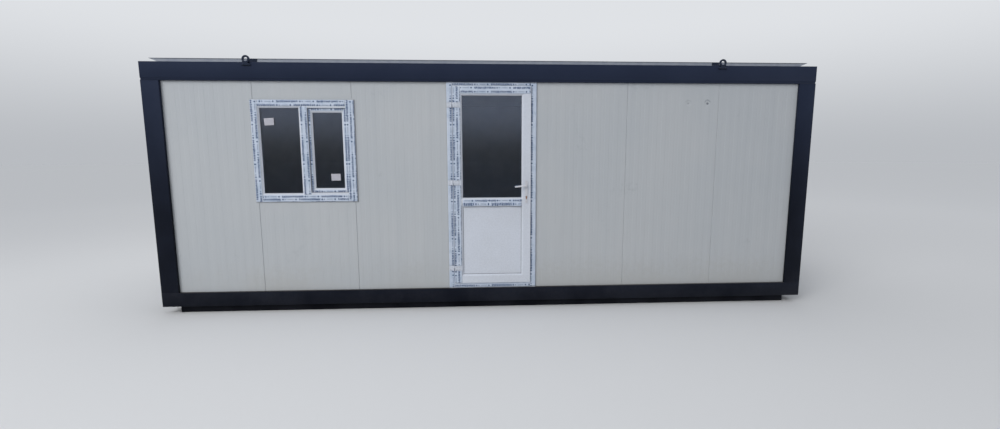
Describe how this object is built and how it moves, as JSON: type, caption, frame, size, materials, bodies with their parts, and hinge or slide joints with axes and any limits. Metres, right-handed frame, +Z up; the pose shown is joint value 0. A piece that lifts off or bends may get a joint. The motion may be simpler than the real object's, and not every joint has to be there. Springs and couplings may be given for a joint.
{
  "type": "portable site cabin",
  "caption": "Portable site cabin: dark steel frame on skids with pale lined panels, a window and a half-glazed hinged door with a lever handle.",
  "frame": {"origin": "on the floor line, at the middle of the underside of the middle skid, under the middle of the steel frame", "axes": "+X along the front from left to right as seen from outside, -Y out of the front with the door, +Z up"},
  "size_m": [7.014, 2.463, 2.676],
  "materials": {
    "frame_paint": "satin dark blue-grey paint",
    "skid_paint": "matt dark paint",
    "joist_steel": "primed steel",
    "floor_board": "sealed board",
    "batten_timber": "sawn timber",
    "roof_steel": "coated steel sheet",
    "lug_steel": "painted forged steel",
    "panel_coat": "coated steel, grey-white, finely lined",
    "ceiling_coat": "smooth white coating",
    "clear_glass": "clear double glazing",
    "white_profile": "smooth white plastic profile",
    "protective_film": "thin printed film left on the profiles",
    "hinge_white": "white powder coat",
    "handle_white": "white powder coat",
    "spindle_steel": "plain bar",
    "lock_brass": "dull brass"
  },
  "bodies": {
    "cabin": {"base_beam_front": "frame_paint", "base_beam_left": "frame_paint", "base_beam_rear": "frame_paint", "base_beam_right": "frame_paint", "ceiling_panels": "ceiling_coat", "corner_post_front_left": "frame_paint", "corner_post_front_right": "frame_paint", "corner_post_rear_left": "frame_paint", "corner_post_rear_right": "frame_paint", "door_head": "white_profile", "door_jamb_left": "white_profile", "door_jamb_right": "white_profile", "door_sill": "white_profile", "floor_deck": "floor_board", "floor_joists": "joist_steel", "front_panel_1": "panel_coat", "front_panel_2": "panel_coat", "front_panel_3": "panel_coat", "front_panel_4": "panel_coat", "front_panel_5": "panel_coat", "front_panel_6": "panel_coat", "hinge_frame_plates": "hinge_white", "left_end_panels": "panel_coat", "lifting_lugs_front": "lug_steel", "lifting_lugs_rear": "lug_steel", "rear_wall_panels": "panel_coat", "right_end_panels": "panel_coat", "roof_battens": "batten_timber", "roof_beam_front": "frame_paint", "roof_beam_left": "frame_paint", "roof_beam_rear": "frame_paint", "roof_beam_right": "frame_paint", "roof_edge_trim": "roof_steel", "roof_sheet": "roof_steel", "skids": "skid_paint", "window_frame": "white_profile", "window_glass": "clear_glass", "window_sash": "white_profile"},
    "door": {"door_leaf": "white_profile", "door_glass": "clear_glass", "door_infill_panel": "white_profile", "hinge_leaf_plates": "hinge_white", "handle_plates": "handle_white", "lock_cylinder": "lock_brass"},
    "door_handle": {"handle_lever_outside": "handle_white", "handle_lever_inside": "handle_white", "handle_spindle": "spindle_steel"}
  },
  "joints": [
    {"name": "door_hinge", "type": "hinge", "parent": "cabin", "child": "door", "pos_m": [-0.416, -1.204, 1.3], "axis": [0, 0, -1], "range_deg": [0, 110]},
    {"name": "handle_turn", "type": "hinge", "parent": "door", "child": "door_handle", "pos_m": [0.375, -1.17, 1.35], "axis": [0, -1, 0], "range_deg": [0, 40], "stiffness_Nm_per_rad": 2, "springref_deg": -34.38}
  ]
}
